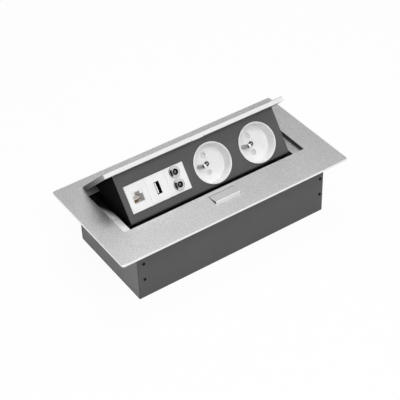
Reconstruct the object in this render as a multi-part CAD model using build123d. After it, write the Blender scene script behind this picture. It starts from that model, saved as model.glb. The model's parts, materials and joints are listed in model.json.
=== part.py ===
"""Flip-up socket block for a desk top: a flanged steel box whose lid carries two mains
sockets and three low-voltage modules. Millimetres, +Z up, the bottom of the box at Z = 0.
The flap is drawn shut, with its lid flush in the flange, and then turned to its open rest."""
import math
import os

from build123d import *

# Layout along the panel, from its left end
left_margin = 5.9
module_pitch = 23.6
module_count = 3
plate_to_socket = 10.15
socket_rim = 44.8
socket_spacing = 12.45
right_margin = 9.6

# Layout down the panel
top_margin = 6.35
bottom_margin = 2.05
bend_radius = 2.4
module_height = 29.2

# Sheet metal
sheet = 1.2
cheek_thick = 1.5
flange_thick = 2.8
ledge_thick = 1.6

# Box and flange
box_height = 68.5
front_land = 28.8
window_depth = 69.4
end_overhang = 23.05
side_overhang = 11.5
flange_corner = 2.8
flange_edge = 0.3
cheek_gap = 3.4
ledge_width = 10.3
ledge_drop = 5.6
well_gap = 1.2
tab_length = 12.0
wrap_tab_spacing = 168.0
wrap_tab_half = 8.0
wrap_tab_reach = 9.0

# Flap
flap_angle = 45.0
pivot_behind_rim = 8.1
pivot_drop = 19.5
ear_radius = 6.0
ear_gap = 1.5
swing_gap = 0.35
arm_angle = 76.0
lid_thick = 5.2
lid_land = 0.3
lid_edge = 0.5
lid_front_gap = 0.5
lid_end_gap = 1.9
panel_setback = 9.4
panel_lean = 7.5
cover_to_rim = 17.1
flange_tab = 12.0
panel_lip = 11.0
cover_corner = 1.8
bush_up = 14.0

# Hinge
pin_radius = 3.0
pin_play = 0.05
pin_head = 4.6
pin_head_thick = 1.2
bracket_thick = 2.0
bracket_gap = 11.2
bracket_corner = 4.0
spring_wire = 1.5
spring_turns = 5.5

# Screws
screw_radius = 1.4
screw_head = 2.8
screw_head_thick = 1.6
screw_play = 0.05
seat_play = 0.02
side_screw_radius = 1.2
side_screw_head = 1.7
side_screw_drop = (22.7, 43.7)
side_screw_inset = 5.5
side_screw_shift = 1.5
ledge_screw_radius = 1.3
ledge_screw_head = 2.6
ledge_screw_inset = 5.6
ledge_screw_forward = 6.0

# Latch
button_width = 30.2
button_x = 0.5
button_length = 12.8
button_rise = 2.6
button_edge = 0.3
button_setback = 5.6
button_gap = 0.45
button_lip = 1.2
button_travel = 2.0
stem_drop = 12.0
guide_wall = 2.0
guide_gap = 0.4
guide_drop = 24.0
guide_ear = 7.0
guide_ear_thick = 3.0
latch_wire = 0.8
latch_coil = 3.1
magnet_length = 4.7
magnet_width = 12.0
magnet_thick = 3.0
magnet_gap = 0.3
keeper_width = 15.4
keeper_length = 8.0
keeper_thick = 1.2

# Socket
recess_radius = 20.9
recess_depth = 15.5
cup_wall = 0.9
rim_proud = 1.0
floor_thick = 2.2
rim_round = 0.6
mouth_round = 0.3
floor_round = 1.2
cup_screw_head = 2.6
cup_screw_depth = 10.0
boss_radius = 2.4
boss_gap = 0.4
contact_spacing = 19.0
contact_hole = 2.75
earth_offset = 9.5
earth_radius = 2.4
earth_below_rim = 0.5
base_step = 1.3
wiring_gap = 2.6
shutter_thick = 2.4
shutter_play = 0.3
shutter_travel = 6.4
sleeve_radius = 3.3
sleeve_bore = 2.45
bar_thick = 1.0
bar_width = 5.0

# Low-voltage modules
module_proud = 1.3
module_body_inset = 1.0
module_body_depth = 8.0
jack_width = 12.2
jack_height = 12.8
jack_depth = 21.0
port_width = 11.8
port_height = 7.8
notch_width = 6.2
notch_height = 3.2
port_depth = 13.5
contact_wires = 8
wire_pitch = 0.95
wire_side = 0.6
wire_slope = 15.0
wire_rise = 1.85
usb_length = 13.1
usb_width = 5.7
usb_wall = 0.35
usb_depth = 14.0
tongue_length = 11.2
tongue_thick = 1.4
tongue_gap = 0.9
strip_width = 1.0
strip_thick = 0.15
strip_pitch = (2.5, 2.0, 2.5)
board_width = 16.0
board_height = 20.0
board_thick = 1.6
audio_spacing = 13.8
audio_shift = (-0.6, 0.9)
audio_bezel = 6.3
collar_height = 1.3
collar_wall = 0.8
dish_depth = 0.4
barrel_radius = 3.9
barrel_bore = 3.3
barrel_rise = 2.8
barrel_round = 0.4
core_sink = 0.6
core_bore = 1.3
contact_sink = 0.3
contact_bore = 0.8
audio_depth = 14.0

# Cable entries
grommet_bore = 4.2
grommet_flange = 10.0
grommet_proud = 2.2
grommet_height = 18.0
grommet_inset = 50.0

# Sizes that follow from these
plates_width = module_count * module_pitch
panel_width = (left_margin + plates_width + plate_to_socket + 2 * socket_rim
               + socket_spacing + right_margin)
panel_height = top_margin + socket_rim + bottom_margin
opening_length = panel_width + 2 * cheek_gap
window_length = opening_length + 2 * ledge_width
box_length = window_length + 2 * (ledge_thick + well_gap + sheet)
rear_land = pivot_behind_rim + ear_radius + ear_gap + sheet
box_depth = front_land + window_depth + rear_land
flange_length = box_length + 2 * end_overhang
flange_depth = box_depth + 2 * side_overhang

top = box_height
under = top - flange_thick
front = -box_depth / 2
rear = box_depth / 2
window_front = front + front_land
window_rear = window_front + window_depth
pivot_y = window_rear + pivot_behind_rim
pivot_z = top - pivot_drop
swing_radius = math.hypot(pivot_behind_rim, pivot_drop) + swing_gap
lid_front = window_front + lid_front_gap
lid_under = top - lid_thick
lid_half = window_length / 2 - lid_end_gap
panel_half = panel_width / 2
panel_y = lid_front + panel_setback
lean = math.radians(panel_lean)
module_reach = (window_rear - cover_to_rim - panel_y) * math.cos(lean)
cheek_inner = panel_half - cheek_thick

plates_left = -panel_half + left_margin
module_x = [plates_left + (i + 0.5) * module_pitch for i in range(module_count)]
first_socket = plates_left + plates_width + plate_to_socket + socket_rim / 2
socket_x = [first_socket, first_socket + socket_rim + socket_spacing]
socket_drop = top_margin + socket_rim / 2
cup_radius = recess_radius + cup_wall
base_width = 2 * (cup_radius - base_step)
cup_floor = rim_proud - recess_depth
base_top = cup_floor - floor_thick
base_back = sheet + bar_thick + wiring_gap - module_reach

hinge_axis = Axis((0, pivot_y, pivot_z), (1, 0, 0))
panel_plane = Plane(origin=(0, panel_y, lid_under), x_dir=(1, 0, 0),
                    z_dir=(0, -math.cos(lean), -math.sin(lean)))


def block(x0, x1, y0, y1, z0, z1):
    """A box between two corners."""
    return Pos((x0 + x1) / 2, (y0 + y1) / 2, (z0 + z1) / 2) * Box(x1 - x0, y1 - y0, z1 - z0)


def rod(x, y, radius, z0, z1):
    """A round bar along Z."""
    return Pos(x, y, (z0 + z1) / 2) * Cylinder(radius, z1 - z0)


def rod_x(y, z, radius, x0, x1):
    """A round bar along X."""
    return Pos((x0 + x1) / 2, y, z) * Rot(0, 90, 0) * Cylinder(radius, x1 - x0)


def rod_y(x, z, radius, y0, y1):
    """A round bar along Y."""
    return Pos(x, (y0 + y1) / 2, z) * Rot(90, 0, 0) * Cylinder(radius, y1 - y0)


def slab(points, x0, x1):
    """A plate with a profile in the YZ plane, between two X values."""
    face = make_face(Polyline(*[(x0, y, z) for y, z in points], close=True))
    return extrude(face, amount=x1 - x0, dir=(1, 0, 0))


def opened(shape):
    """Turn a piece of the shut flap to its open rest."""
    return shape.rotate(hinge_axis, -flap_angle)


def on_panel(shape):
    """Set a piece drawn on the panel's front face: X along it, Y up it, Z out of it."""
    return panel_plane.location * shape


def save(name, shape):
    """Write one named piece, with each of its solids in its own place."""
    solids = shape.solids()
    export_step(solids[0] if len(solids) == 1 else group(solids), f"parts/{name}.step")


def group(shapes):
    """Several like solids in one node."""
    return Compound(children=list(shapes))


def panel_point(drop, depth):
    """The (y, z) of a point this far down the shut panel and this deep behind it."""
    y = panel_y + drop * math.sin(lean) + depth * math.cos(lean)
    z = lid_under - drop * math.cos(lean) + depth * math.sin(lean)
    return y, z


def swing_point(height):
    """The (y, z) where the swing circle stands this far below the flange's top."""
    rise = pivot_drop - height
    return pivot_y - math.sqrt(swing_radius ** 2 - rise ** 2), top - height


# Places of the pieces
button_rear = window_front - button_setback
button_front = button_rear - button_length
head_sink = ledge_screw_head - ledge_screw_radius
ledge_screws = [(side * (window_length / 2 - ledge_screw_inset),
                 (window_front + window_rear) / 2 - ledge_screw_forward) for side in (-1, 1)]
screw_bite = flange_thick - 1.0
wrap_tab_x = wrap_tab_spacing / 2
bracket_outer = panel_half + bracket_gap + bracket_thick
bracket_inner = bracket_outer - bracket_thick
bracket_front = window_rear + ledge_thick + 0.7
side_screw_reach = 2.4 * sheet
bracket_back = rear - side_screw_reach - 0.3
guide_half = button_width / 2 + button_lip + guide_gap + guide_wall
guide_front = button_front - button_lip - guide_gap - guide_wall
guide_rear = button_rear + button_lip + guide_gap + guide_wall
wrap_screws = [(sx * wrap_tab_x, sy * (rear - sheet - wrap_tab_reach / 2))
               for sx in (-1, 1) for sy in (-1, 1)]
bracket_screw_x = (panel_half + 1.2 + bracket_inner) / 2
bracket_screws = [(sx * bracket_screw_x, y) for sx in (-1, 1)
                  for y in (bracket_front + 3.2, bracket_back - 3.2)]
guide_screws = [(button_x + sx * (guide_half + guide_ear / 2), (guide_front + guide_rear) / 2)
                for sx in (-1, 1)]
flange_screws = wrap_screws + bracket_screws + guide_screws
grommet_neck = grommet_flange - 3.0
side_screw_x = box_length / 2 - side_screw_inset
side_screws = [(sx * side_screw_x + side_screw_shift, side, top - drop)
               for sx in (-1, 1) for side in (-1, 1) for drop in side_screw_drop]
lip_bottom = under - button_gap - 1.6
arm_top = lid_under - magnet_gap - magnet_thick
arm_bottom = arm_top - 3.0
magnet_front = lid_front
magnet_rear = magnet_front + magnet_length
stem_front = button_front + 1.0
stem_rear = button_rear - 1.0
lid_bite = lid_thick - 1.6
cheek_screw_x = cheek_inner - flange_tab / 2
cheek_tab_front = panel_y + 6.0
panel_tab_half = cheek_inner - flange_tab - 1.0
cover_top_y = panel_point(module_reach * math.tan(lean), module_reach)[0]
cheek_tab_rear = cover_top_y - sheet - 1.0
lid_screws = ([(sx * cheek_screw_x, y) for sx in (-1, 1)
               for y in (cheek_tab_front + 5, cheek_tab_rear - 5)]
              + [(sx * panel_tab_half / 2, cover_top_y - sheet - 5.0) for sx in (-1, 1)]
              + [(sx * panel_tab_half / 2, panel_y + sheet + 6.5) for sx in (-1, 1)])
shutter_near = -contact_hole - 0.7
shutter_far = contact_hole + 1.3
shutter_half = contact_spacing / 2 + contact_hole + 0.8
pocket_depth = shutter_thick + 2 * shutter_play
sleeve_top = base_top - pocket_depth - 0.2
port_low = -jack_height / 2 + 0.6


# Frame
def make_frame():
    """The cast flange plate with its opening, a sunk ledge at each end and the key's hole."""
    plate = block(-flange_length / 2, flange_length / 2, -flange_depth / 2, flange_depth / 2,
                  under, top)
    plate = fillet(plate.edges().filter_by(Axis.Z), flange_corner)
    plate = chamfer(plate.faces().sort_by(Axis.Z)[-1].edges(), flange_edge)
    half = window_length / 2
    plate -= block(-half, half, window_front, window_rear, under - 1, top + 1)
    ledge_bottom = top - ledge_drop - ledge_thick
    for side in (-1, 1):
        outer = side * (half + ledge_thick)
        inner = side * opening_length / 2
        well = block(min(outer, inner), max(outer, inner), window_front - ledge_thick,
                     window_rear + ledge_thick, ledge_bottom, under)
        low = min(side * half, side * (opening_length / 2 - 1))
        high = max(side * half, side * (opening_length / 2 - 1))
        well -= block(low, high, window_front, window_rear, top - ledge_drop, top)
        plate += well
    hole = button_width / 2 + button_gap
    plate -= block(button_x - hole, button_x + hole, button_front - button_gap,
                   button_rear + button_gap, under - 1, top + 1)
    for x, y in ledge_screws:
        plate -= rod(x, y, ledge_screw_radius + screw_play, ledge_bottom - 1, top)
        plate -= Pos(x, y, top - ledge_drop - head_sink / 2) * Cone(
            ledge_screw_radius + screw_play, ledge_screw_head + screw_play, head_sink)
    for x, y in flange_screws:
        plate -= rod(x, y, screw_radius + screw_play, under - 1, under + screw_bite + 0.2)
    return plate


# Box
def make_box_wrap():
    """One folded sheet: front wall, bottom and rear wall, with tabs under the flange."""
    half = box_length / 2
    outer = Plane.YZ * Pos(0, under / 2) * Rectangle(box_depth, under)
    inner = Plane.YZ * Pos(0, (under + sheet) / 2) * Rectangle(box_depth - 2 * sheet,
                                                              under - sheet)
    shell = extrude(outer, amount=half, both=True) - extrude(inner, amount=half + 1, both=True)
    corners = shell.edges().filter_by(Axis.X).group_by(Axis.Z)[0]
    shell = fillet(corners, sheet + 0.6)
    for x, y in wrap_screws:
        wall = (rear - sheet / 2) * (1 if y > 0 else -1)
        tip = (rear - sheet - wrap_tab_reach) * (1 if y > 0 else -1)
        tab = block(x - wrap_tab_half, x + wrap_tab_half, min(wall, tip), max(wall, tip),
                    under - sheet, under)
        shell += tab - rod(x, y, screw_radius + screw_play, under - 2 * sheet, top)
    for x in (-grommet_inset, grommet_inset):
        shell -= rod_y(x, grommet_height, grommet_neck, rear - 3 * sheet, rear + 1)
    for x, side, z in side_screws:
        wall = side * (rear - sheet / 2)
        shell -= rod_y(x, z, side_screw_radius + screw_play, wall - 2 * sheet, wall + 2 * sheet)
    return shell


def make_end_plate(side):
    """An end wall with tabs folded inwards along both walls and under the ledge."""
    x_out = box_length / 2
    x_in = x_out - sheet
    ledge_bottom = top - ledge_drop - ledge_thick
    y_in = rear - sheet
    shape = block(x_in, x_out, -y_in, y_in, sheet, under)
    for y in (-y_in, y_in - sheet):
        shape += block(x_in - tab_length, x_in + sheet / 2, y, y + sheet, 2 * sheet + 1,
                       ledge_bottom - sheet - 1)
    shape += block(opening_length / 2 + 1.5, x_in + sheet / 2, window_front + 10,
                   window_rear - 10, ledge_bottom - sheet, ledge_bottom)
    corners = shape.faces().sort_by(Axis.X)[-1].edges().filter_by(Axis.Z)
    shape = fillet(corners, sheet - 0.1)
    if side < 0:
        shape = mirror(shape, about=Plane.YZ)
    for x, y in ledge_screws:
        shape -= rod(x, y, ledge_screw_radius + screw_play, sheet, top)
    for x, tab_side, z in side_screws:
        wall = tab_side * (y_in - sheet / 2)
        shape -= rod_y(x, z, side_screw_radius + screw_play, wall - sheet, wall + sheet)
    return shape


def make_side_screws():
    """Low round heads on the box's walls, with shanks through wall and tab."""
    screws = []
    for x, side, z in side_screws:
        screw = rod_y(x, z, side_screw_radius, -side_screw_reach, 0.05)
        head = rod_y(x, z, side_screw_head, 0, 0.7)
        head = chamfer(head.faces().sort_by(Axis.Y)[-1].edges(), 0.35)
        screw = screw + head - rod_y(x, z, 0.7, 0.3, 2)
        if side < 0:
            screw = mirror(screw, about=Plane.XZ)
        screws.append(Pos(0, side * rear, 0) * screw)
    return group(screws)


def make_ledge_screws():
    """Countersunk screws that hold the end plates under the ledges."""
    screws = []
    seat = top - ledge_drop
    for x, y in ledge_screws:
        screw = rod(x, y, ledge_screw_radius, seat - ledge_thick - sheet - 1.5, seat - 0.2)
        screw += Pos(x, y, seat - head_sink / 2 - 0.1) * Cone(
            ledge_screw_radius, ledge_screw_head - 0.2, head_sink - 0.2)
        screw -= Pos(x, y, seat - 0.4) * Box(3.2, 0.7, 1.2)
        screw -= Pos(x, y, seat - 0.4) * Box(0.7, 3.2, 1.2)
        screws.append(screw)
    return group(screws)


def make_flange_screws(places, depth):
    """Pan-head screws driven up into the flange's underside."""
    screws = []
    for x, y in places:
        seat = under - depth
        screw = rod(x, y, screw_radius, seat - 0.1, under + screw_bite)
        head = rod(x, y, screw_head, seat - screw_head_thick, seat)
        head = fillet(head.faces().sort_by(Axis.Z)[0].edges(), 0.6)
        slot = Pos(x, y, seat - screw_head_thick) * Box(3.4, 0.8, 1.6)
        screws.append(screw + head - slot)
    return group(screws)


def make_grommet(x):
    """A rubber bush in the rear wall, grooved for the sheet."""
    y0 = rear - sheet
    inner = rod_y(x, grommet_height, grommet_flange - 0.6, y0 - grommet_proud, y0)
    neck = rod_y(x, grommet_height, grommet_neck, y0 - 0.5, rear + 0.5)
    outer = rod_y(x, grommet_height, grommet_flange, rear, rear + grommet_proud)
    outer = fillet(outer.faces().sort_by(Axis.Y)[-1].edges(), 1.0)
    return inner + neck + outer - rod_y(x, grommet_height, grommet_bore,
                                  y0 - grommet_flange, rear + grommet_flange)


# Hinge
def make_bracket(side):
    """A steel angle: a tab screwed up under the flange and a plate that holds the pin."""
    shape = block(bracket_inner, bracket_outer, bracket_front, bracket_back,
                  pivot_z - ear_radius, under)
    lower = shape.edges().filter_by(Axis.X).group_by(Axis.Z)[0]
    shape = fillet(lower, bracket_corner)
    shape += block(panel_half + 1.2, bracket_inner + 0.5, bracket_front, bracket_back,
                   under - bracket_thick, under)
    for x, y in bracket_screws[2:]:
        shape -= rod(x, y, screw_radius + screw_play, under - 2 * bracket_thick, top)
    shape -= rod_x(pivot_y, pivot_z, pin_radius - 0.5, bracket_inner - 1, bracket_outer + 1)
    return shape if side > 0 else mirror(shape, about=Plane.YZ)


def make_hinge_pin(side):
    """A shouldered pin, headed inside the cheek and riveted in the bracket."""
    shape = rod_x(pivot_y, pivot_z, pin_radius, cheek_inner - 0.3, bracket_inner)
    shape += rod_x(pivot_y, pivot_z, pin_radius - 0.5, bracket_inner - 0.5, bracket_outer + 0.8)
    head = rod_x(pivot_y, pivot_z, pin_head, cheek_inner - 0.3 - pin_head_thick,
                 cheek_inner - 0.3)
    head = chamfer(head.faces().sort_by(Axis.X)[0].edges(), 0.4)
    rivet = rod_x(pivot_y, pivot_z, pin_radius + 0.8, bracket_outer, bracket_outer + 1.0)
    shape += head + fillet(rivet.faces().sort_by(Axis.X)[-1].edges(), 0.6)
    return shape if side > 0 else mirror(shape, about=Plane.YZ)


def make_lift_spring(side):
    """A sprung coil round the pin, between the cheek and the bracket."""
    radius = pin_radius + 0.4 + spring_wire / 2
    start = panel_half + 0.9 + spring_wire / 2
    length = bracket_inner - 0.3 - spring_wire / 2 - start
    helix = Helix(pitch=length / spring_turns, height=length, radius=radius,
                  center=(0, 0, 0), direction=(0, 0, 1))
    profile = Plane(origin=helix @ 0, z_dir=helix % 0) * Circle(spring_wire / 2)
    coil = sweep(profile, path=helix, is_frenet=True)
    coil = Pos(start, pivot_y, pivot_z) * Rot(0, 90, 0) * coil
    return coil if side > 0 else mirror(coil, about=Plane.YZ)


# Latch
def make_latch_button():
    """A pressed key whose top slopes up to the front, over a lip that stops it rising."""
    half = button_width / 2
    lip_top = under - button_gap
    profile = [(button_front, lip_top - 0.5), (button_front, top + button_rise - button_edge),
               (button_front + button_edge, top + button_rise), (button_rear, top),
               (button_rear, lip_top - 0.5)]
    shape = slab(profile, -half, half)
    shape += block(-half - button_lip, half + button_lip, button_front - button_lip,
                   button_rear + button_lip, lip_bottom, lip_top)
    return Pos(button_x, 0, 0) * shape


def make_magnet_carrier():
    """The key's stem with an arm that reaches under the lid's front edge."""
    stem = block(-button_width / 2 + 2, button_width / 2 - 2, stem_front, stem_rear,
                 top - stem_drop, lip_bottom)
    half = magnet_width / 2 + 1.2
    arm = block(-half, half, stem_rear - 1, magnet_rear, arm_bottom, arm_top)
    lips = block(-half, half, magnet_front - 1.2, magnet_rear, arm_top - 0.5,
                 arm_top + magnet_thick - 0.8)
    lips -= block(-magnet_width / 2, magnet_width / 2, magnet_front, magnet_rear + 1, arm_top,
                  arm_top + magnet_thick)
    socket = rod(0, (stem_front + stem_rear) / 2, 4.2, top - stem_drop - 1, top - stem_drop + 3)
    return Pos(button_x, 0, 0) * (stem + arm + lips - socket)


def make_latch_magnet():
    """A flat magnet on the arm's end."""
    shape = block(-magnet_width / 2, magnet_width / 2, magnet_front, magnet_rear, arm_top,
                  arm_top + magnet_thick)
    return Pos(button_x, 0, 0) * chamfer(shape.edges().filter_by(Axis.Z), 0.4)


def make_latch_guide():
    """An open-backed holder under the flange that carries the key and its spring."""
    floor = top - guide_drop
    shape = block(-guide_half, guide_half, guide_front, guide_rear, floor, under)
    shape -= block(-guide_half + guide_wall, guide_half - guide_wall, guide_front + guide_wall,
                   guide_rear - guide_wall, floor + guide_wall, under + 1)
    half = magnet_width / 2 + 1.6
    shape -= block(-half, half, guide_rear - 2 * guide_wall, guide_rear + 1,
                   arm_bottom - button_travel - 0.6, under + 1)
    middle = (stem_front + stem_rear) / 2
    shape += rod(0, middle, 2.0, floor + guide_wall / 2, floor + guide_wall + 3.0)
    y = (guide_front + guide_rear) / 2
    reach = guide_half + guide_ear
    ears = block(-reach, reach, y - 5, y + 5, under - guide_ear_thick, under)
    ears -= block(-guide_half + 0.5, guide_half - 0.5, y - 6, y + 6, floor, top)
    for side in (-1, 1):
        ears -= rod(side * (guide_half + guide_ear / 2), y, screw_radius + screw_play, floor, top)
    return Pos(button_x, 0, 0) * (shape + ears)


def make_latch_spring():
    """A compression spring from the guide's floor up into the stem."""
    low = top - guide_drop + guide_wall + latch_wire / 2
    high = top - stem_drop + 3.0 - latch_wire / 2
    helix = Helix(pitch=(high - low) / 5.0, height=high - low, radius=latch_coil,
                  center=(0, 0, 0), direction=(0, 0, 1))
    profile = Plane(origin=helix @ 0, z_dir=helix % 0) * Circle(latch_wire / 2)
    coil = sweep(profile, path=helix, is_frenet=True)
    return Pos(button_x, (stem_front + stem_rear) / 2, low) * coil


# Flap shell, drawn shut
def make_lid():
    """A thick plate whose rear underside is scooped to swing over the flange's rear rim."""
    land_y, land_z = swing_point(lid_land)
    toe_y, toe_z = swing_point(lid_thick)
    angle = (math.atan2(pivot_y - land_y, land_z - pivot_z)
             + math.atan2(pivot_y - toe_y, toe_z - pivot_z)) / 2
    middle = (0, pivot_y - swing_radius * math.sin(angle),
              pivot_z + swing_radius * math.cos(angle))
    edge = Polyline((0, toe_y, toe_z), (0, lid_front, lid_under), (0, lid_front, top),
                    (0, land_y, top), (0, land_y, land_z))
    scoop = ThreePointArc((0, land_y, land_z), middle, (0, toe_y, toe_z))
    face = make_face([edge, scoop])
    shape = extrude(face, amount=lid_half, dir=(1, 0, 0), both=True)
    front_edges = shape.faces().sort_by(Axis.Y)[0].edges().filter_by(Axis.X)
    shape = chamfer(front_edges, lid_edge)
    shape -= block(-keeper_width / 2 - 0.1, keeper_width / 2 + 0.1, lid_front - 1,
                   lid_front + keeper_length + 0.1, lid_under - 1, lid_under + keeper_thick)
    for x, y in lid_screws:
        shape -= rod(x, y, screw_radius + screw_play, lid_under - 1, lid_under + lid_bite + 0.2)
    return shape


def make_lid_keeper():
    """A steel strip set into the lid's front edge, for the magnet."""
    shape = block(-keeper_width / 2, keeper_width / 2, lid_front, lid_front + keeper_length,
                  lid_under, lid_under + keeper_thick)
    return chamfer(shape.faces().sort_by(Axis.Y)[0].edges().filter_by(Axis.Z), 0.4)


def make_panel():
    """The folded front sheet, with a lip under the lid and a rounded lip along the bottom."""
    drop = panel_height
    shape = block(-panel_half, panel_half, -drop, 0, -sheet, 0)
    shape += block(-panel_half, panel_half, -drop, -drop + sheet, -panel_lip, 0)
    bottom = shape.edges().filter_by(Axis.X).sort_by_distance((0, -drop, 0))[0]
    shape = fillet(bottom, bend_radius)
    inside = shape.edges().filter_by(Axis.X).sort_by_distance((0, -drop + sheet, -sheet))[0]
    shape = fillet(inside, bend_radius - sheet)
    for x in socket_x:
        shape -= rod(x, -socket_drop, cup_radius + 0.1, -5, 5)
    low = module_x[0] - module_pitch / 2 + module_body_inset - 0.2
    high = module_x[-1] + module_pitch / 2 - module_body_inset + 0.2
    half = module_height / 2 - module_body_inset + 0.2
    shape -= block(low, high, -socket_drop - half, -socket_drop + half, -5, 5)
    shape = on_panel(shape)
    above = block(-panel_half - 1, panel_half + 1, panel_y - panel_lip,
                  panel_y + 2 * panel_lip, lid_under, top)
    lip = block(-panel_tab_half, panel_tab_half, panel_y + sheet / 2, panel_y + 12,
                lid_under - sheet, lid_under)
    for x, y in lid_screws[6:]:
        lip -= rod(x, y, screw_radius + screw_play, lid_under - 5, lid_under + 1)
    return shape - above + lip


def make_cheek(side):
    """A side plate with a goose neck round the flange's rear rim and an ear for the pin."""
    toe = swing_point(lid_thick)
    face_top = panel_point(0, sheet + 0.02)
    face_bottom = panel_point(panel_height - sheet - 0.02, sheet + 0.02)
    face_toe = panel_point(panel_height - sheet - 0.02, bend_radius + 0.5)
    back_bottom = panel_point(panel_height - sheet - 0.02, module_reach)
    chin = panel_point(panel_height - sheet - bend_radius, sheet + 0.02)
    outline = [(face_top[0], lid_under), chin, face_toe, back_bottom,
               (pivot_y + 1.0, pivot_z - ear_radius), (pivot_y + 1.0, pivot_z + 1.0),
               (pivot_y - 3.0, lid_under), (toe[0], lid_under)]
    shape = slab(outline, cheek_inner, panel_half)
    reach = 2 * swing_radius
    wedge = [(pivot_y, pivot_z)]
    for degrees in (arm_angle, 45, 0, -45, -90):
        turn = math.radians(degrees)
        wedge.append((pivot_y - reach * math.sin(turn), pivot_z + reach * math.cos(turn)))
    ring = rod_x(pivot_y, pivot_z, swing_radius, cheek_inner - 1, panel_half + 1)
    shape -= ring & slab(wedge, cheek_inner - 1, panel_half + 1)
    shape += rod_x(pivot_y, pivot_z, ear_radius, cheek_inner, panel_half)
    shape -= rod_x(pivot_y, pivot_z, pin_radius + pin_play, cheek_inner - 1, panel_half + 1)
    tab = block(cheek_inner - flange_tab, cheek_inner + 0.5, cheek_tab_front, cheek_tab_rear,
                lid_under - cheek_thick, lid_under)
    for x, y in lid_screws[2:4]:
        tab -= rod(x, y, screw_radius + screw_play, lid_under - 5, lid_under + 1)
    shape += tab
    return opened(shape if side > 0 else mirror(shape, about=Plane.YZ))


def make_back_cover():
    """The folded sheet behind the sockets, with lips under the lid and along the bottom."""
    half = cheek_inner - 0.1
    drop = panel_height - sheet
    shape = block(-half, half, -drop, 0, -module_reach, -module_reach + sheet)
    shape += block(-half, half, -drop, -drop + sheet, -module_reach, -bend_radius - 0.6)
    outer = shape.edges().filter_by(Axis.X).sort_by_distance((0, -drop, -module_reach))[0]
    shape = fillet(outer, cover_corner)
    shape -= rod(0, bush_up - drop, grommet_bore + 2.0, -module_reach - 5, -module_reach + 5)
    shape = on_panel(shape)
    shape -= block(-half - 1, half + 1, panel_y - panel_lip, panel_y + 2 * module_reach,
                   lid_under, lid_under + module_reach)
    tip = cover_top_y - sheet - 10.0
    lip = block(-panel_tab_half, panel_tab_half, tip, cover_top_y - sheet / 2,
                lid_under - sheet, lid_under)
    for x, y in lid_screws[4:6]:
        lip -= rod(x, y, screw_radius + screw_play, lid_under - 5, lid_under + 1)
    return shape + lip


def make_cable_bush():
    """A rubber bush where the flap's wiring enters the back cover."""
    radius = grommet_bore + 2.0
    centre = bush_up - (panel_height - sheet)
    shape = rod(0, centre, radius, -module_reach - 0.5, -module_reach + sheet + 0.5)
    shape += rod(0, centre, radius + 1.6, -module_reach - 1.6, -module_reach)
    shape += rod(0, centre, radius + 1.4, -module_reach + sheet, -module_reach + sheet + 1.2)
    return shape - rod(0, centre, radius - 1.8, -module_reach - 5, -module_reach + 5)


def make_lid_screws():
    """Pan-head screws up through the lips of the shell into the lid."""
    screws = []
    for index, (x, y) in enumerate(lid_screws):
        seat = lid_under - (cheek_thick if index < 4 else sheet) - seat_play
        screw = rod(x, y, screw_radius, seat - 0.1, lid_under + lid_bite)
        head = rod(x, y, screw_head, seat - screw_head_thick, seat)
        head = fillet(head.faces().sort_by(Axis.Z)[0].edges(), 0.6)
        screws.append(screw + head)
    return group(screws)


# Sockets, drawn on the panel about their own centres
def contact_points():
    """The centres of the two contact holes."""
    return [(0, contact_spacing / 2), (0, -contact_spacing / 2)]


def make_socket_face():
    """The white cup: a raised rim, a round wall and a floor with its three holes."""
    shape = rod(0, 0, socket_rim / 2, 0, rim_proud)
    shape = fillet(shape.faces().sort_by(Axis.Z)[-1].edges(), rim_round)
    shape += rod(0, 0, cup_radius, base_top, 0.1)
    recess = rod(0, 0, recess_radius, cup_floor, rim_proud + 1)
    recess = fillet(recess.faces().sort_by(Axis.Z)[0].edges(), floor_round)
    shape -= recess
    mouth = shape.faces().sort_by(Axis.Z)[-1].inner_wires()[0].edges()
    shape = fillet(mouth, mouth_round)
    for x, y in contact_points():
        shape -= rod(x, y, contact_hole, base_top - 1, cup_floor + 1)
        shape -= Pos(x, y, cup_floor - 0.2) * Cone(contact_hole, contact_hole + 0.4, 0.4)
    shape -= rod(0, 0, screw_radius + screw_play, base_top - 1, cup_floor + 1)
    return shape - rod(-earth_offset, 0, earth_radius + 0.05, base_top - 1, cup_floor + 1)


def make_cup_screw():
    """The pan-head screw in the middle of the cup's floor, into the base's boss."""
    seat = cup_floor + seat_play
    screw = rod(0, 0, screw_radius, base_top - cup_screw_depth, seat + 0.1)
    head = rod(0, 0, cup_screw_head, seat, seat + screw_head_thick)
    head = fillet(head.faces().sort_by(Axis.Z)[-1].edges(), 0.6)
    slot = Pos(0, 0, seat + screw_head_thick) * Box(0.8, 3.4, 1.6)
    return screw + head - slot


def make_socket_base():
    """The rear half: a square block with a shutter pocket and chambers for the contacts."""
    half = base_width / 2
    shape = block(-half, half, -half, half, base_back, base_top)
    shape = fillet(shape.edges().filter_by(Axis.Z), 6.0)
    shape -= block(shutter_near - shutter_play, shutter_far + shutter_travel + shutter_play,
                   -shutter_half - shutter_play, shutter_half + shutter_play,
                   base_top - pocket_depth, base_top + 1)
    shape += rod(0, 0, boss_radius, base_top - pocket_depth - 1, base_top)
    shape -= rod(0, 0, screw_radius + screw_play, base_top - cup_screw_depth - 0.5,
                 base_top + 1)
    for x, y in contact_points():
        shape -= rod(x, y, sleeve_radius + 0.05, base_back - 1, base_top - 1)
    shape -= rod(-earth_offset, 0, earth_radius + 0.05, base_back - 1, base_top + 1)
    return shape


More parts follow.
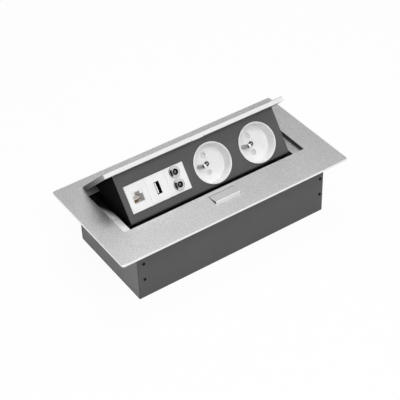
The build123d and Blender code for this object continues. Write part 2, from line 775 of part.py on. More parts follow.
def make_shutter():
    """The sliding plate that closes both contact holes, notched round the base's boss."""
    shape = block(shutter_near, shutter_far, -shutter_half, shutter_half,
                  base_top - shutter_play - shutter_thick, base_top - shutter_play)
    for x, y in contact_points():
        ramp = Pos(0, y, 0) * slab_across([(shutter_near - 1, base_top),
                                           (shutter_near + 1.6, base_top),
                                           (shutter_near - 1, base_top - 1.6)], 6.0)
        shape -= ramp
    notch = boss_radius + boss_gap
    return shape - block(shutter_near - 1, notch, -notch, notch, base_top - 2 * pocket_depth,
                         base_top + 1)


def slab_across(points, width):
    """A short prism with a profile in the XZ plane, centred on Y."""
    face = make_face(Polyline(*[(x, 0, z) for x, z in points], close=True))
    return extrude(face, amount=width / 2, dir=(0, 1, 0), both=True)


def make_sleeves():
    """Split contact sleeves behind the two holes."""
    sleeves = []
    for x, y in contact_points():
        sleeve = rod(x, y, sleeve_radius, base_back, sleeve_top)
        sleeve -= rod(x, y, sleeve_bore, base_back + 2.0, sleeve_top + 1)
        sleeve -= block(-sleeve_radius - 1, sleeve_radius + 1, y - 0.3, y + 0.3,
                        base_back + 5.0, sleeve_top + 1)
        sleeves.append(sleeve)
    return group(sleeves)


def make_earth_pin():
    """The round earth pin that stands in the cup, with a domed tip."""
    tip = rim_proud - earth_below_rim
    shape = rod(-earth_offset, 0, earth_radius, base_back, tip)
    return fillet(shape.faces().sort_by(Axis.Z)[-1].edges(), earth_radius - 0.3)


def make_bus_bar(row):
    """A brass strip behind both sockets, joining like contacts."""
    offset = {"line": contact_spacing / 2, "neutral": -contact_spacing / 2, "earth": 0}[row]
    start = socket_x[0] - (earth_offset if row == "earth" else 0) - 5.0
    end = socket_x[1] - (earth_offset if row == "earth" else 0) + 5.0
    y = -socket_drop + offset
    return block(start, end, y - bar_width / 2, y + bar_width / 2, base_back - bar_thick,
                 base_back)


# Low-voltage modules, drawn on the panel about their own centres
def make_module_plate(cutter):
    """A white plate with a plug body behind it and an opening for its port."""
    width = module_pitch / 2 - 0.05
    height = module_height / 2
    shape = block(-width, width, -height, height, 0, module_proud)
    shape = chamfer(shape.faces().sort_by(Axis.Z)[-1].edges(), 0.3)
    inset = module_body_inset
    shape += block(-width + inset, width - inset, -height + inset, height - inset,
                   -module_body_depth, 0.1)
    return shape - cutter


def jack_cutter():
    """The opening that the keystone body fills."""
    return block(-jack_width / 2 - 0.05, jack_width / 2 + 0.05, -jack_height / 2 - 0.05,
                 jack_height / 2 + 0.05, -module_body_depth - 1, module_proud + 1)


def make_network_jack():
    """A white keystone body with a stepped socket, its latch notch on the upper side."""
    mouth = module_proud - 0.6
    shape = block(-jack_width / 2, jack_width / 2, -jack_height / 2, jack_height / 2,
                  -jack_depth, mouth)
    shape -= block(-port_width / 2, port_width / 2, port_low, port_low + port_height,
                   mouth - port_depth, mouth + 1)
    shape -= block(-notch_width / 2, notch_width / 2, port_low + port_height - 0.5,
                   port_low + port_height + notch_height, mouth - port_depth + 4, mouth + 1)
    return shape


def make_network_wires():
    """Eight gilt spring wires that slope up from the socket's lower wall."""
    wires = []
    mouth = module_proud - 0.6
    for index in range(contact_wires):
        x = (index - (contact_wires - 1) / 2) * wire_pitch
        run = port_depth - 3.0
        wire = Pos(x, 0, 0) * Box(wire_side, wire_side, run)
        lift = Pos(0, port_low + wire_rise, mouth - port_depth + run / 2 + 0.4)
        lift = lift * Rot(-wire_slope, 0, 0)
        wires.append(lift * wire)
    return group(wires)


def usb_cutter():
    """The opening that the metal shell fills."""
    half_x = usb_width / 2 + 0.05
    half_y = usb_length / 2 + 0.05
    return block(-half_x, half_x, -half_y, half_y, -module_body_depth - 1, module_proud + 1)


def make_usb_shell():
    """The folded metal shell, its long side down the panel, closed at the back."""
    mouth = module_proud - 0.4
    half_x = usb_width / 2
    half_y = usb_length / 2
    shape = block(-half_x, half_x, -half_y, half_y, mouth - usb_depth, mouth)
    shape -= block(-half_x + usb_wall, half_x - usb_wall, -half_y + usb_wall,
                   half_y - usb_wall, mouth - usb_depth + 1.0, mouth + 1)
    return shape


def make_usb_tongue():
    """The tongue that carries the four contacts, against the shell's left side."""
    mouth = module_proud - 0.4
    x0 = -usb_width / 2 + usb_wall + tongue_gap
    return block(x0, x0 + tongue_thick, -tongue_length / 2, tongue_length / 2,
                 mouth - usb_depth + 1.0, mouth - 1.2)


def make_usb_contacts():
    """Four gilt strips on the tongue's inner side."""
    mouth = module_proud - 0.4
    x0 = -usb_width / 2 + usb_wall + tongue_gap + tongue_thick
    y = -sum(strip_pitch) / 2
    strips = []
    for step in (0.0, *strip_pitch):
        y += step
        strips.append(block(x0, x0 + strip_thick, y - strip_width / 2, y + strip_width / 2,
                            mouth - usb_depth + 2.0, mouth - 1.8))
    return group(strips)


def make_usb_board():
    """The charger's circuit board, across the back of the shell."""
    back = module_proud - 0.4 - usb_depth
    return block(-board_width / 2, board_width / 2, -board_height / 2, board_height / 2,
                 back - board_thick, back)


def audio_points():
    """The centres of the two round jacks."""
    x, y = audio_shift
    return [(x, y + audio_spacing / 2), (x, y - audio_spacing / 2)]


def audio_cutter():
    """The two round openings for the barrels."""
    holes = [rod(x, y, barrel_radius + 0.05, -module_body_depth - 1, module_proud + 1)
             for x, y in audio_points()]
    return holes[0] + holes[1]


def make_audio_barrels():
    """Bright barrels with a broad dished collar on the plate."""
    barrels = []
    for x, y in audio_points():
        collar = rod(x, y, audio_bezel, module_proud, module_proud + collar_height)
        collar = chamfer(collar.faces().sort_by(Axis.Z)[-1].edges(), collar_wall / 2)
        dish = rod(x, y, audio_bezel - collar_wall, module_proud + dish_depth,
                   module_proud + 2 * collar_height)
        shape = collar - dish
        tip = module_proud + barrel_rise
        tube = rod(x, y, barrel_radius, -audio_depth, tip)
        tube = fillet(tube.faces().sort_by(Axis.Z)[-1].edges(), barrel_round)
        shape += tube
        shape -= rod(x, y, barrel_bore, -audio_depth - 1, tip + 1)
        barrels.append(shape)
    return group(barrels)


def make_audio_seals():
    """Black rings in the collars' dishes, round the barrels."""
    seals = []
    for x, y in audio_points():
        floor = module_proud + dish_depth
        seal = rod(x, y, audio_bezel - collar_wall - 0.02, floor, floor + 0.4)
        seals.append(seal - rod(x, y, barrel_radius + 0.02, floor - 1, floor + 1))
    return group(seals)


def make_audio_cores():
    """Black insulators inside the barrels, bored for the centre contacts."""
    cores = []
    tip = module_proud + barrel_rise
    for x, y in audio_points():
        core = rod(x, y, barrel_bore - 0.02, -audio_depth - 2.0, tip - core_sink)
        cores.append(core - rod(x, y, core_bore, -audio_depth + 2.0, tip))
    return group(cores)


def make_audio_contacts():
    """Spring tubes in the insulators."""
    tubes = []
    tip = module_proud + barrel_rise
    for x, y in audio_points():
        tube = rod(x, y, core_bore - 0.02, -audio_depth + 2.0, tip - core_sink - contact_sink)
        tubes.append(tube - rod(x, y, contact_bore, -audio_depth + 4.0, tip))
    return group(tubes)


def make_module_carrier():
    """A black frame behind the panel that the three modules snap into."""
    inset = module_body_inset - 0.15
    low = module_x[0] - module_pitch / 2 + inset
    high = module_x[-1] + module_pitch / 2 - inset
    half = module_height / 2 - inset
    shape = block(low - 3, high + 3, -half - 3, half + 3, -5.2, -sheet)
    return shape - block(low, high, -half, half, -6, 1)


def main():
    os.makedirs("parts", exist_ok=True)

    save("frame", make_frame())
    save("box_wrap", make_box_wrap())
    save("end_plate_left", make_end_plate(-1))
    save("end_plate_right", make_end_plate(1))
    save("side_screws", make_side_screws())
    save("ledge_screws", make_ledge_screws())
    save("wrap_screws", make_flange_screws(wrap_screws, sheet))
    save("bracket_screws", make_flange_screws(bracket_screws, bracket_thick))
    save("guide_screws", make_flange_screws(guide_screws, guide_ear_thick))
    save("grommet_left", make_grommet(-grommet_inset))
    save("grommet_right", make_grommet(grommet_inset))
    save("hinge_bracket_left", make_bracket(-1))
    save("hinge_bracket_right", make_bracket(1))
    save("hinge_pin_left", make_hinge_pin(-1))
    save("hinge_pin_right", make_hinge_pin(1))
    save("lift_spring_left", make_lift_spring(-1))
    save("lift_spring_right", make_lift_spring(1))
    save("latch_button", make_latch_button())
    save("magnet_carrier", make_magnet_carrier())
    save("latch_magnet", make_latch_magnet())
    save("latch_guide", make_latch_guide())
    save("latch_spring", make_latch_spring())

    save("lid", opened(make_lid()))
    save("lid_keeper", opened(make_lid_keeper()))
    save("panel", opened(make_panel()))
    save("cheek_left", make_cheek(-1))
    save("cheek_right", make_cheek(1))
    save("back_cover", opened(make_back_cover()))
    save("cable_bush", opened(on_panel(make_cable_bush())))
    save("lid_screws", opened(make_lid_screws()))

    makers = {"socket_face": make_socket_face, "socket_base": make_socket_base,
              "shutter": make_shutter, "contact_sleeves": make_sleeves,
              "earth_pin": make_earth_pin, "cup_screw": make_cup_screw}
    for number, x in enumerate(socket_x, start=1):
        for name, maker in makers.items():
            placed = on_panel(Pos(x, -socket_drop, 0) * maker())
            save(f"{name}_{number}", opened(placed))
    for row in ("line", "neutral", "earth"):
        save(f"bus_bar_{row}", opened(on_panel(make_bus_bar(row))))

    modules = [
        (0, "network_plate", make_module_plate(jack_cutter())),
        (0, "network_jack", make_network_jack()),
        (0, "network_wires", make_network_wires()),
        (1, "usb_plate", make_module_plate(usb_cutter())),
        (1, "usb_shell", make_usb_shell()),
        (1, "usb_tongue", make_usb_tongue()),
        (1, "usb_contacts", make_usb_contacts()),
        (1, "usb_board", make_usb_board()),
        (2, "audio_plate", make_module_plate(audio_cutter())),
        (2, "audio_barrels", make_audio_barrels()),
        (2, "audio_seals", make_audio_seals()),
        (2, "audio_cores", make_audio_cores()),
        (2, "audio_contacts", make_audio_contacts()),
    ]
    for index, name, shape in modules:
        save(name, opened(on_panel(Pos(module_x[index], -socket_drop, 0) * shape)))
    carrier = Pos(0, -socket_drop, 0) * make_module_carrier()
    save("module_carrier", opened(on_panel(carrier)))


main()
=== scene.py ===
"""Looks of the flip-up desk socket block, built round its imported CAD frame. Metres, +Z up."""
import json
import math

import bmesh
import bpy
from mathutils import Matrix, Vector


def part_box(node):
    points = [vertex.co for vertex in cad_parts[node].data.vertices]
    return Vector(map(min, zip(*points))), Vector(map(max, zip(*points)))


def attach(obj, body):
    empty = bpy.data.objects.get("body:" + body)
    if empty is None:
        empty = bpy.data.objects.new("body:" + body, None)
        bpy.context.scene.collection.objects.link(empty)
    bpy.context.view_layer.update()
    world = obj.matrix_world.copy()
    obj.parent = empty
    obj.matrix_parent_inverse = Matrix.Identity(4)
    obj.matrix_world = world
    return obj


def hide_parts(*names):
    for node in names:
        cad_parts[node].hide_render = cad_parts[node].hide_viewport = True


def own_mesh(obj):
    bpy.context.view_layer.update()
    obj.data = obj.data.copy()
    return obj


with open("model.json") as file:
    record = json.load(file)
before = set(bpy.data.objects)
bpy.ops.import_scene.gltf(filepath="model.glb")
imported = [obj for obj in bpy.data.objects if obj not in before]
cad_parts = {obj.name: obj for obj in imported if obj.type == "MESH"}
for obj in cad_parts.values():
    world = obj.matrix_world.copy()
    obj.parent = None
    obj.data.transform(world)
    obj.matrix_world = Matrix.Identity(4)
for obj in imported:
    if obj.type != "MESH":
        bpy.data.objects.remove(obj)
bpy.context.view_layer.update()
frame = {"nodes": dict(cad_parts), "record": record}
MM = 0.001
mounts = {mount["name"]: mount for mount in frame["record"]["mounts"]}
panel_out = tuple(mounts["socket_1"]["axis"])
panel_up = (0.0, panel_out[2], -panel_out[1])
jack_spacing = 13.8 * MM
square_on = 0.9


class Field:
    """A value that varies over a surface: a node's output that takes part in expressions."""

    def __init__(self, finish, socket):
        self.finish = finish
        self.socket = socket

    def math(self, operation, *terms, clamp=False):
        settings = {"operation": operation, "use_clamp": clamp}
        return self.finish.node("ShaderNodeMath", settings, dict(enumerate(terms)))

    def __add__(self, other):
        return self.math("ADD", self, other)

    def __radd__(self, other):
        return self.math("ADD", other, self)

    def __sub__(self, other):
        return self.math("SUBTRACT", self, other)

    def __rsub__(self, other):
        return self.math("SUBTRACT", other, self)

    def __mul__(self, other):
        return self.math("MULTIPLY", self, other)

    def __rmul__(self, other):
        return self.math("MULTIPLY", other, self)

    def __truediv__(self, other):
        return self.math("DIVIDE", self, other)

    def __gt__(self, other):
        return self.math("GREATER_THAN", self, other)

    def __lt__(self, other):
        return self.math("LESS_THAN", self, other)

    def __abs__(self):
        return self.math("ABSOLUTE", self)

    def clamped(self):
        return self.math("ADD", self, 0.0, clamp=True)

    def axis(self, name):
        parts = self.finish.node("ShaderNodeSeparateXYZ", {}, {0: self})
        return Field(self.finish, parts.socket.node.outputs["XYZ".index(name)])


class Nodes:
    """A node tree that is built node by node."""

    def __init__(self, tree):
        self.tree = tree

    def node(self, kind, settings=None, sockets=None, output=0):
        """A node of this kind, its settings made first and then its sockets fed."""
        made = self.tree.nodes.new(kind)
        for name, value in (settings or {}).items():
            setattr(made, name, value)
        for key, value in (sockets or {}).items():
            self.feed(made.inputs[key], value)
        return Field(self, made.outputs[output])

    def feed(self, socket, value):
        if isinstance(value, Field):
            self.tree.links.new(value.socket, socket)
        else:
            socket.default_value = value

    def step(self, value, low, high):
        """0 where the value is under low, 1 where it is over high, and smooth between."""
        return self.node("ShaderNodeMapRange", {"interpolation_type": "SMOOTHSTEP"},
                         {"Value": value, "From Min": low, "From Max": high})

    def seen_directly(self):
        """1 for rays from the camera, off gloss and through glass, and 0 for the rest."""
        camera = self.node("ShaderNodeLightPath", output="Is Camera Ray")
        rays = camera.socket.node.outputs
        gloss = camera.math("MAXIMUM", camera, Field(self, rays["Is Glossy Ray"]))
        return gloss.math("MAXIMUM", gloss, Field(self, rays["Is Transmission Ray"]))


class Finish(Nodes):
    """One material, built round its Principled shader."""

    def __init__(self, name, metallic=0.0, **fixed):
        self.material = bpy.data.materials.new(name)
        self.material.use_nodes = True
        super().__init__(self.material.node_tree)
        self.shader = self.tree.nodes["Principled BSDF"]
        self.shader.inputs["Metallic"].default_value = metallic
        for socket, value in fixed.items():
            self.shader.inputs[socket.replace("_", " ")].default_value = value
        self.place = self.node("ShaderNodeTexCoord", output="Object")
        self.facing = Field(self, self.place.socket.node.outputs["Normal"])

    def noise(self, scale, detail=2.0, roughness=0.5, stretch=None):
        """Noise from 0 to 1; the scale counts cells in a metre."""
        place = self.place
        if stretch:
            place = self.node("ShaderNodeMapping", {}, {"Vector": place, "Scale": stretch})
        return self.node("ShaderNodeTexNoise", {},
                         {"Vector": place, "Scale": scale, "Detail": detail,
                          "Roughness": roughness})

    def cells(self, scale):
        """The distance to the nearest of many scattered points."""
        return self.node("ShaderNodeTexVoronoi", {}, {"Vector": self.place, "Scale": scale})

    def blend(self, factor, first, second):
        """A colour between two, by a factor from 0 to 1."""
        return self.node("ShaderNodeMix", {"data_type": "RGBA"},
                         {0: factor, 6: first, 7: second}, output=2)

    def colour(self, value):
        self.feed(self.shader.inputs["Base Color"], value)

    def roughness(self, value):
        self.feed(self.shader.inputs["Roughness"], value)

    def metallic(self, value):
        self.feed(self.shader.inputs["Metallic"], value)

    def outward(self, direction):
        """How far the surface faces this way, from -1 to 1."""
        return self.node("ShaderNodeVectorMath", {"operation": "DOT_PRODUCT"},
                         {0: self.facing, 1: direction}, output="Value")

    def along(self, centre, direction):
        """The distance from a point, measured this way."""
        offset = self.node("ShaderNodeVectorMath", {"operation": "SUBTRACT"},
                           {0: self.place, 1: centre})
        return self.node("ShaderNodeVectorMath", {"operation": "DOT_PRODUCT"},
                         {0: offset, 1: direction}, output="Value")

    def from_axis(self, centre, direction):
        """The distance from a line through a point."""
        offset = self.node("ShaderNodeVectorMath", {"operation": "SUBTRACT"},
                           {0: self.place, 1: centre})
        across = self.node("ShaderNodeVectorMath", {"operation": "CROSS_PRODUCT"},
                           {0: offset, 1: direction})
        return self.node("ShaderNodeVectorMath", {"operation": "LENGTH"}, {0: across},
                         output="Value")

    def relief(self, height, depth):
        """Bumps of this depth in metres from a height between 0 and 1."""
        bump = self.node("ShaderNodeBump", {}, {"Strength": 1.0, "Distance": depth,
                                                "Height": height}, output="Normal")
        self.feed(self.shader.inputs["Normal"], bump)


def grey(level, tint=(1.0, 1.0, 1.0)):
    """A colour from a level between 0 and 255 as it should look."""
    value = level / 255
    linear = value / 12.92 if value <= 0.04045 else ((value + 0.055) / 1.055) ** 2.4
    return (linear * tint[0], linear * tint[1], linear * tint[2], 1.0)


# Finishes
def silver_lacquer(name, dark, light, roughness, metallic):
    """Fine-grained silver lacquer: the finish, and the lacquer's own colour."""
    finish = Finish(name, metallic, Coat_Weight=0.08, Coat_Roughness=0.35)
    flakes = finish.noise(800.0, detail=4.0, roughness=0.85)
    sparkle = (finish.cells(700.0) < 0.2) * 0.3
    cloud = (finish.noise(35.0) - 0.5) * 0.3
    factor = ((flakes - 0.5) * 4.2 + 0.42 + sparkle + cloud).clamped()
    finish.roughness(roughness + (flakes - 0.5) * 0.18)
    finish.relief(flakes, 0.00003)
    return finish, finish.blend(factor, dark, light)


def flange_finish():
    """Silver lacquer with painted light: a painted highlight on the outer rim's walls, painted
    shade on the openings' walls and painted shadow gaps at the key's ends.

    In the recess at the left end the ledge floor is painted near white as painted light, and a
    painted shadow of the lid makes all of it dark at the back.
    """
    metallic = 0.85
    finish, lacquer = silver_lacquer("flange_silver", grey(206), grey(240), 0.42, metallic)
    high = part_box("frame")[1]
    key_low, key_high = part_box("latch_button")
    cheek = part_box("cheek_left")[0][0]
    well_width = 14 * MM
    well_slant = 2.5
    x = finish.place.axis("X")
    wall = abs(finish.facing.axis("Z")) < 0.3
    inside = (abs(x) < high[0] - MM) * (abs(finish.place.axis("Y")) < high[1] - MM)
    key_end = (abs(finish.facing.axis("X")) > square_on) * (x > key_low[0]) * (x < key_high[0])
    # Painted shade: the openings' walls dark grey, and nearly black at the key's ends as painted
    # shadow gaps.
    opening_painted_shade = finish.blend(key_end, grey(80), grey(8))
    # Painted highlight: the outer rim's walls near white.
    lacquer_painted_walls = finish.blend(wall, lacquer, finish.blend(inside, grey(244), opening_painted_shade))
    left = x < cheek
    ledge = (finish.place.axis("Z") < high[2] - 3 * MM) * left
    # Painted shadow of the lid: the left recess, walls and ledge, turns near black towards the
    # back along a slanted line.
    well = (x > cheek - well_width) * (ledge + wall * left).clamped()
    back = finish.place.axis("Y") + (x - cheek + 10 * MM) * well_slant
    # Painted light: the left ledge floor near white, so that it looks lit.
    pale = finish.blend(ledge * (1.0 - wall), lacquer_painted_walls, grey(250))
    finish.colour(finish.blend(well * finish.step(back, 0.0, 30 * MM), pale, grey(10)))
    finish.metallic(metallic - ledge * 0.65)
    return finish.material


def lid_finish():
    """Silver lacquer with a pale front edge as a painted highlight, ends in painted shade that
    darkens to the back, and a near-black underside as painted shade.
    """
    metallic = 0.85
    finish, lacquer = silver_lacquer("lid_silver", grey(215), grey(240), 0.32, metallic)
    low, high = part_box("lid")
    back = ((finish.place.axis("Y") - low[1]) / (high[1] - low[1])).clamped()
    end = abs(finish.facing.axis("X")) > square_on
    under = finish.facing.axis("Z") < -0.5
    front = (finish.facing.axis("Y") < -0.5) * (finish.facing.axis("Z") > 0.5)
    # Painted shade: the end faces darken from front to back.
    ends = finish.blend(end, lacquer, finish.blend(back, grey(176), grey(62)))
    # Painted highlight: the front edge a flat pale grey, not metallic.
    ends_and_front_painted = finish.blend(front, ends, grey(229))
    # Painted shade: the underside near black.
    finish.colour(finish.blend(under, ends_and_front_painted, grey(12)))
    finish.metallic((1.0 - front) * metallic)
    return finish.material


def key_finish():
    """The key's silver, with a near-white front face as a painted highlight and grey ends as
    painted shade.
    """
    metallic = 0.45
    finish, lacquer = silver_lacquer("key_silver", grey(208), grey(230), 0.45, metallic)
    front = finish.facing.axis("Y") < -0.4
    end = abs(finish.facing.axis("X")) > square_on
    # Painted highlight: the front face near white, not metallic.
    front_painted_highlight = finish.blend(front, lacquer, grey(252))
    # Painted shade: the end faces grey.
    finish.colour(finish.blend(end, front_painted_highlight, grey(96)))
    finish.metallic((1.0 - front) * metallic)
    return finish.material


def socket_finish(number):
    """White plastic, with painted shadow: a dark line round the side of the rim."""
    finish, plastic = plain_plastic("socket_white_" + number, grey(240), grey(233), 0.28)
    low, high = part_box("socket_face_" + number)
    rim = (high[0] - low[0]) / 2
    side = finish.outward(panel_out) < 0.45
    outer = finish.from_axis(mounts["socket_" + number]["pos_m"], panel_out) > rim - 0.5 * MM
    # Painted shadow: the rim's outer side dark grey.
    finish.colour(finish.blend(side * outer, plastic, grey(26)))
    return finish.material


def screw_finish(number):
    """A dark screw head with a light middle."""
    finish = Finish("cup_screw_" + number, Roughness=0.4)
    middle = finish.from_axis(mounts["socket_" + number]["pos_m"], panel_out) < 0.9 * MM
    finish.colour(finish.blend(middle, grey(44), grey(214)))
    return finish.material


def pin_finish():
    """Nickelled brass, with a painted reflection on its domed tip: near white, and near black on
    its left side.
    """
    finish = Finish("pin_nickel", metallic=0.5, Roughness=0.3)
    wear = finish.noise(400.0, stretch=(1.0, 1.0, 0.2))
    shaft = finish.blend(wear, grey(168), grey(190))
    # Painted reflection: the domed tip near white, and near black on its left side.
    dome = finish.outward(panel_out) > 0.3
    tip_dark_reflection = dome * (finish.facing.axis("X") < -0.35)
    finish.colour(finish.blend(tip_dark_reflection, finish.blend(dome, shaft, grey(248)), grey(10)))
    return finish.material


def jack_finish(name, light, dark):
    """Plating with a painted reflection: bright on its faces, and painted near black down the
    sides and on the left.
    """
    finish = Finish(name, metallic=0.25, Roughness=0.15)
    low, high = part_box("audio_seals")
    middle = tuple((a + b) / 2 for a, b in zip(low, high))
    across = finish.along(middle, (1.0, 0.0, 0.0))
    up = finish.along(middle, panel_up)
    own_up = abs(abs(up) - jack_spacing / 2)
    # Painted reflection: near black on the left of each jack, by the given amount, and down the
    # sides.
    painted_dark_side = (across + own_up * 0.45) < -1.6 * MM
    side = finish.outward(panel_out) < 0.4
    tone = finish.blend(finish.noise(500.0), light, grey(240))
    finish.colour(finish.blend((side + painted_dark_side * dark).clamped(), tone, grey(8)))
    return finish.material


def keeper_finish():
    """White steel with dark chamfered ends."""
    finish = Finish("keeper_steel", Roughness=0.4)
    end = abs(finish.facing.axis("X")) > 0.3
    tone = finish.blend(finish.noise(300.0), grey(222), grey(232))
    finish.colour(finish.blend(end, tone, grey(30)))
    return finish.material


def powder_coat(name, dark, light, roughness, gloss=0.3, streaks=0.0, ends=None):
    """Powder coat: a fine orange peel and faint mottling, with streaks or dark ends if asked."""
    finish = Finish(name, Specular_IOR_Level=gloss)
    peel = finish.noise(700.0, detail=3.0, roughness=0.6)
    mottle = finish.noise(60.0, detail=3.0)
    factor = 0.5 + (peel - 0.5) * 0.9 + (mottle - 0.5) * 0.5
    if streaks:
        factor = factor + (finish.noise(300.0, stretch=(1.0, 1.0, 0.03)) - 0.5) * streaks
    coat = finish.blend(factor.clamped(), dark, light)
    if ends:
        coat = finish.blend(abs(finish.facing.axis("X")) > square_on, coat, ends)
    finish.colour(coat)
    finish.roughness(roughness + (peel - 0.5) * 0.12)
    finish.relief(peel, 0.00002)
    return finish.material


def plain_plastic(name, colour, shade, roughness, grain=900.0, depth=0.000008):
    """Moulded plastic with a very fine grain: the finish, and its slightly uneven colour."""
    finish = Finish(name)
    texture = finish.noise(grain)
    flow = finish.noise(90.0)
    finish.roughness(roughness + (texture - 0.5) * 0.08)
    finish.relief(texture, depth)
    return finish, finish.blend(((flow - 0.35) * 1.6).clamped(), colour, shade)


def moulded_plastic(name, colour, shade, roughness, grain=900.0, depth=0.000008):
    """Moulded plastic of one colour all over."""
    finish, plastic = plain_plastic(name, colour, shade, roughness, grain, depth)
    finish.colour(plastic)
    return finish.material


def bright_metal(name, colour, shade, roughness):
    """Plated or drawn metal with a fine grain and a little tarnish."""
    finish = Finish(name, metallic=1.0)
    grain = finish.noise(1200.0)
    tarnish = finish.noise(140.0, detail=3.0)
    finish.colour(finish.blend(((tarnish - 0.45) * 2.2).clamped(), colour, shade))
    finish.roughness(roughness + (grain - 0.5) * 0.16)
    finish.relief(grain, 0.00001)
    return finish.material


flange_silver = flange_finish()
lid_silver = lid_finish()
key_silver = key_finish()
graphite = powder_coat("graphite_coat", grey(78), grey(89), 0.5, ends=grey(20))
# Painted light: the end plates take a lighter copy of the graphite coat, with faint streaks, so
# the sides look brighter than the front.
lit_end_graphite = powder_coat("lit_end_graphite", grey(110), grey(128), 0.5, streaks=1.2)
panel_graphite = powder_coat("panel_graphite", grey(79), grey(91), 0.5)
matt_black = powder_coat("matt_black", grey(8), grey(13), 0.8, gloss=0.08)
screw_black = powder_coat("screw_black", grey(6), grey(12), 0.6, gloss=0.1)
zinc = bright_metal("zinc_plate", grey(205), grey(176), 0.3)
spring_steel = bright_metal("spring_steel", grey(168), grey(140), 0.32)
magnet_nickel = bright_metal("magnet_nickel", grey(190), grey(170), 0.25)
nickel = bright_metal("nickel_plate", grey(205), grey(185), 0.22)
chrome = bright_metal("chrome_plate", grey(232), grey(214), 0.08)
brass = bright_metal("contact_brass", grey(222, (1.0, 0.8, 0.42)), grey(196, (1.0, 0.74, 0.36)),
                     0.28)
gilt = bright_metal("gilt_wire", grey(228, (1.0, 0.72, 0.3)), grey(205, (1.0, 0.66, 0.26)), 0.2)
rubber = moulded_plastic("entry_rubber", grey(30), grey(40), 0.75, grain=500.0, depth=0.00003)
black_plastic = moulded_plastic("black_plastic", grey(26), grey(34), 0.45)
grey_plastic = moulded_plastic("grey_plastic", grey(150), grey(138), 0.5)
white_plastic = moulded_plastic("white_plastic", grey(240), grey(233), 0.28)
port_white = moulded_plastic("port_white", grey(233), grey(222), 0.35)
shutter_grey = moulded_plastic("shutter_grey", grey(224), grey(214), 0.4)
port_shell = bright_metal("port_shell", grey(52), grey(40), 0.4)
contact_white = moulded_plastic("contact_white", grey(224), grey(212), 0.3)
board_green = moulded_plastic("board_green", grey(96, (0.35, 1.0, 0.5)),
                              grey(80, (0.35, 1.0, 0.5)), 0.4)

finishes = {
    "silver": flange_silver, "lid_silver": lid_silver, "graphite": graphite,
    "black_paint": matt_black, "dark_screw": screw_black, "zinc": zinc,
    "spring_steel": spring_steel, "magnet": magnet_nickel, "rubber": rubber,
    "black_plastic": black_plastic, "grey_plastic": grey_plastic,
    "white_plastic": white_plastic, "port_white": port_white,
    "shutter_plastic": shutter_grey, "brass": brass, "nickel": nickel, "chrome": chrome,
    "gilt": gilt, "board": board_green,
}


def dress(node, material):
    """Give a CAD node this material all over."""
    mesh = frame["nodes"][node].data
    mesh.materials.clear()
    mesh.materials.append(material)


for part in frame["record"]["subparts"]:
    dress(part["node"], finishes[part["material_slot"]])
dress("panel", panel_graphite)
dress("latch_button", key_silver)
dress("lid_keeper", keeper_finish())
dress("usb_shell", port_shell)
dress("usb_contacts", contact_white)
dress("audio_seals", jack_finish("jack_dish", grey(232), 1.0))
dress("audio_contacts", spring_steel)
dress("audio_cores", matt_black)
dress("audio_barrels", jack_finish("jack_chrome", grey(214), 0.55))
# Painted highlight: the ledge screws take the white contact plastic all over for their glint.
dress("ledge_screws", contact_white)
for side in ("left", "right"):
    dress("end_plate_" + side, lit_end_graphite)
earth_metal = pin_finish()
for number in ("1", "2"):
    dress("socket_face_" + number, socket_finish(number))
    dress("cup_screw_" + number, screw_finish(number))
    dress("earth_pin_" + number, earth_metal)


# The key's spring
def coil_key_spring():
    """The coil under the key, its points merged and its faces smooth, carried with the housing.
    """
    mesh = frame["nodes"]["latch_spring"].data.copy()
    mesh.name = "key_spring"
    coil = bmesh.new()
    coil.from_mesh(mesh)
    bmesh.ops.remove_doubles(coil, verts=coil.verts, dist=0.001 * MM)
    for face in coil.faces:
        face.smooth = True
    coil.to_mesh(mesh)
    coil.free()
    spring = bpy.data.objects.new("key_spring", mesh)
    bpy.context.scene.collection.objects.link(spring)
    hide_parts("latch_spring")
    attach(spring, "housing")
    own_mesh(spring)


coil_key_spring()


# Camera
def place_camera():
    """The photograph's viewpoint, turned a little about its own axis."""
    azimuth, elevation, roll = (math.radians(a) for a in (-33.320, 40.209, -2.045))
    back = Vector((math.sin(azimuth) * math.cos(elevation),
                   -math.cos(azimuth) * math.cos(elevation), math.sin(elevation)))
    right = Vector((math.cos(azimuth), math.sin(azimuth), 0.0))
    up = back.cross(right)
    across = right * math.cos(roll) + up * math.sin(roll)
    upright = up * math.cos(roll) - right * math.sin(roll)
    stand = Matrix.Translation((-0.5502, -0.83243, 0.87782))
    turn = Matrix((across, upright, back)).transposed().to_4x4()
    camera = bpy.data.objects.new("camera", bpy.data.cameras.new("camera"))
    camera.matrix_world = stand @ turn
    camera.data.lens = 110.79
    camera.data.sensor_width = 36.0
    camera.data.clip_start = 0.01
    camera.data.clip_end = 50.0
    bpy.context.scene.collection.objects.link(camera)
    bpy.context.scene.camera = camera


# Light
def area_light(name, place, target, width, height, power):
    """A soft lamp that faces a point."""
    lamp = bpy.data.lights.new(name, "AREA")
    lamp.shape = "RECTANGLE"
    lamp.size = width
    lamp.size_y = height
    lamp.energy = power
    light = bpy.data.objects.new(name, lamp)
    light.location = place
    light.rotation_euler = (Vector(target) - Vector(place)).to_track_quat("-Z", "Y").to_euler()
    bpy.context.scene.collection.objects.link(light)


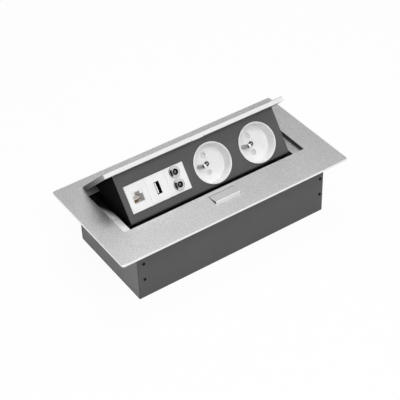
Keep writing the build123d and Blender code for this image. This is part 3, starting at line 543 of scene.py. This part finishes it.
def light_room(level):
    """An even surrounding, with a backdrop that shows white up to a little over the horizon."""
    world = bpy.data.worlds.new("room")
    world.use_nodes = True
    bpy.context.scene.world = world
    room = Nodes(world.node_tree)
    height = room.node("ShaderNodeTexCoord", output="Generated").axis("Z")
    white_below, plain_above = (math.sin(math.radians(angle)) for angle in (18.0, 26.0))
    backdrop = 1.0 - room.step(height, white_below, plain_above)
    background = world.node_tree.nodes["Background"]
    background.inputs["Color"].default_value = (1.0, 1.0, 1.0, 1.0)
    room.feed(background.inputs["Strength"],
              level + room.seen_directly() * backdrop * (1.0 - level))


def lay_floor():
    """A wide pale floor that shows nearly white and keeps a faint shadow."""
    mesh = bpy.data.meshes.new("floor")
    shape = bmesh.new()
    bmesh.ops.create_grid(shape, x_segments=1, y_segments=1, size=6.0)
    shape.to_mesh(mesh)
    shape.free()
    floor = bpy.data.objects.new("floor", mesh)
    bpy.context.scene.collection.objects.link(floor)
    ground = Finish("floor_white", Base_Color=grey(240), Roughness=0.9, Specular_IOR_Level=0.0)
    glow = ground.node("ShaderNodeEmission", {}, {"Color": (1.0, 1.0, 1.0, 1.0), "Strength": 1.0})
    shown = ground.node("ShaderNodeMixShader", {}, {0: ground.seen_directly() * 0.95, 2: glow})
    ground.tree.links.new(ground.shader.outputs[0], shown.socket.node.inputs[1])
    ground.tree.links.new(shown.socket, ground.tree.nodes["Material Output"].inputs["Surface"])
    mesh.materials.append(ground.material)


scene = bpy.context.scene
scene.view_settings.view_transform = "Standard"
place_camera()
light_room(0.1)
lay_floor()
middle = (0.0, 0.0, 0.07)
area_light("key", (-0.3, -0.7, 1.1), middle, 0.8, 0.8, 10.6)
area_light("right", (0.5, -1.05, 0.8), middle, 2.0, 0.8, 3.0)
area_light("top", (0.284, 0.284, 1.306), middle, 0.6, 0.45, 6.9)
area_light("left", (-1.2, 0.0, 0.3), middle, 0.5, 0.3, 1.2)
area_light("back", (0.4, 1.4, 0.12), middle, 2.0, 0.3, 2.5)
